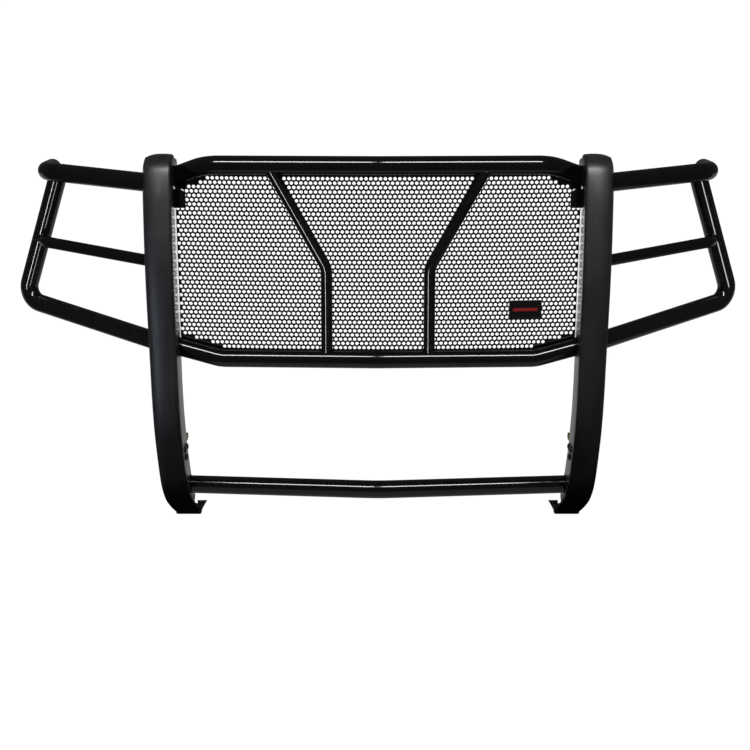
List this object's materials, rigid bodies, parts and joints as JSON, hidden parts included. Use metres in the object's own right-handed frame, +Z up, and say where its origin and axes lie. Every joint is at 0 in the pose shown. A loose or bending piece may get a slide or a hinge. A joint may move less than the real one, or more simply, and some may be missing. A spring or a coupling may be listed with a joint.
{
  "type": "truck grille guard",
  "caption": "Tubular steel front guard with a perforated grille sheet, rubber-faced uprights, headlamp wing loops and bolt-on frame brackets.",
  "frame": {"origin": "middle of the underside of the whole object, level with the foot lips", "axes": "+X to the right seen from the front, -Y out of the front face, +Z up"},
  "size_m": [2.059, 0.414, 1.1632],
  "materials": {
    "powder_coat": "gloss black powder coat",
    "bracket_black": "satin black powder coat",
    "face_rubber": "matte black moulded rubber",
    "black_oxide": "black oxide steel",
    "yellow_zinc": "yellow zinc plate",
    "white_zinc": "clear zinc plate",
    "badge": "satin badge plate"
  },
  "bodies": {
    "frame_mounts": {"long_bracket_right": "bracket_black", "long_bracket_left": "bracket_black", "lower_bracket_right": "bracket_black", "lower_bracket_left": "bracket_black", "brace_right": "bracket_black", "brace_left": "bracket_black", "slot_screw_1_right": "black_oxide", "slot_screw_1_left": "black_oxide", "slot_washer_1_right": "black_oxide", "slot_washer_1_left": "black_oxide", "slot_nut_1_right": "white_zinc", "slot_nut_1_left": "white_zinc", "slot_screw_2_right": "black_oxide", "slot_screw_2_left": "black_oxide", "slot_washer_2_right": "black_oxide", "slot_washer_2_left": "black_oxide", "slot_nut_2_right": "white_zinc", "slot_nut_2_left": "white_zinc", "slot_screw_3_right": "black_oxide", "slot_screw_3_left": "black_oxide", "slot_washer_3_right": "black_oxide", "slot_washer_3_left": "black_oxide", "slot_nut_3_right": "white_zinc", "slot_nut_3_left": "white_zinc", "tail_bolt_1_right": "yellow_zinc", "tail_bolt_1_left": "yellow_zinc", "tail_nut_1_right": "white_zinc", "tail_nut_1_left": "white_zinc", "tail_bolt_2_right": "yellow_zinc", "tail_bolt_2_left": "yellow_zinc", "tail_nut_2_right": "white_zinc", "tail_nut_2_left": "white_zinc", "frame_bolt_right": "yellow_zinc", "frame_bolt_left": "yellow_zinc", "frame_nut_right": "white_zinc", "frame_nut_left": "white_zinc"},
    "guard": {"top_tube": "powder_coat", "lower_tube": "powder_coat", "bottom_crossbar": "powder_coat", "grille_sheet": "powder_coat", "badge_plate": "badge", "strut_right": "powder_coat", "strut_left": "powder_coat", "corner_tab_right": "powder_coat", "corner_tab_left": "powder_coat", "upright_right": "powder_coat", "upright_left": "powder_coat", "rubber_strip_right": "face_rubber", "rubber_strip_left": "face_rubber", "foot_lip_right": "face_rubber", "foot_lip_left": "face_rubber", "wing_top_tube_right": "powder_coat", "wing_top_tube_left": "powder_coat", "wing_loop_tube_right": "powder_coat", "wing_loop_tube_left": "powder_coat", "wing_middle_tube_right": "powder_coat", "wing_middle_tube_left": "powder_coat"}
  },
  "joints": [
    {"name": "guard_slide", "type": "slide", "parent": "frame_mounts", "child": "guard", "axis": [0, 1, 0], "range_m": [-0.01, 0.01]}
  ]
}
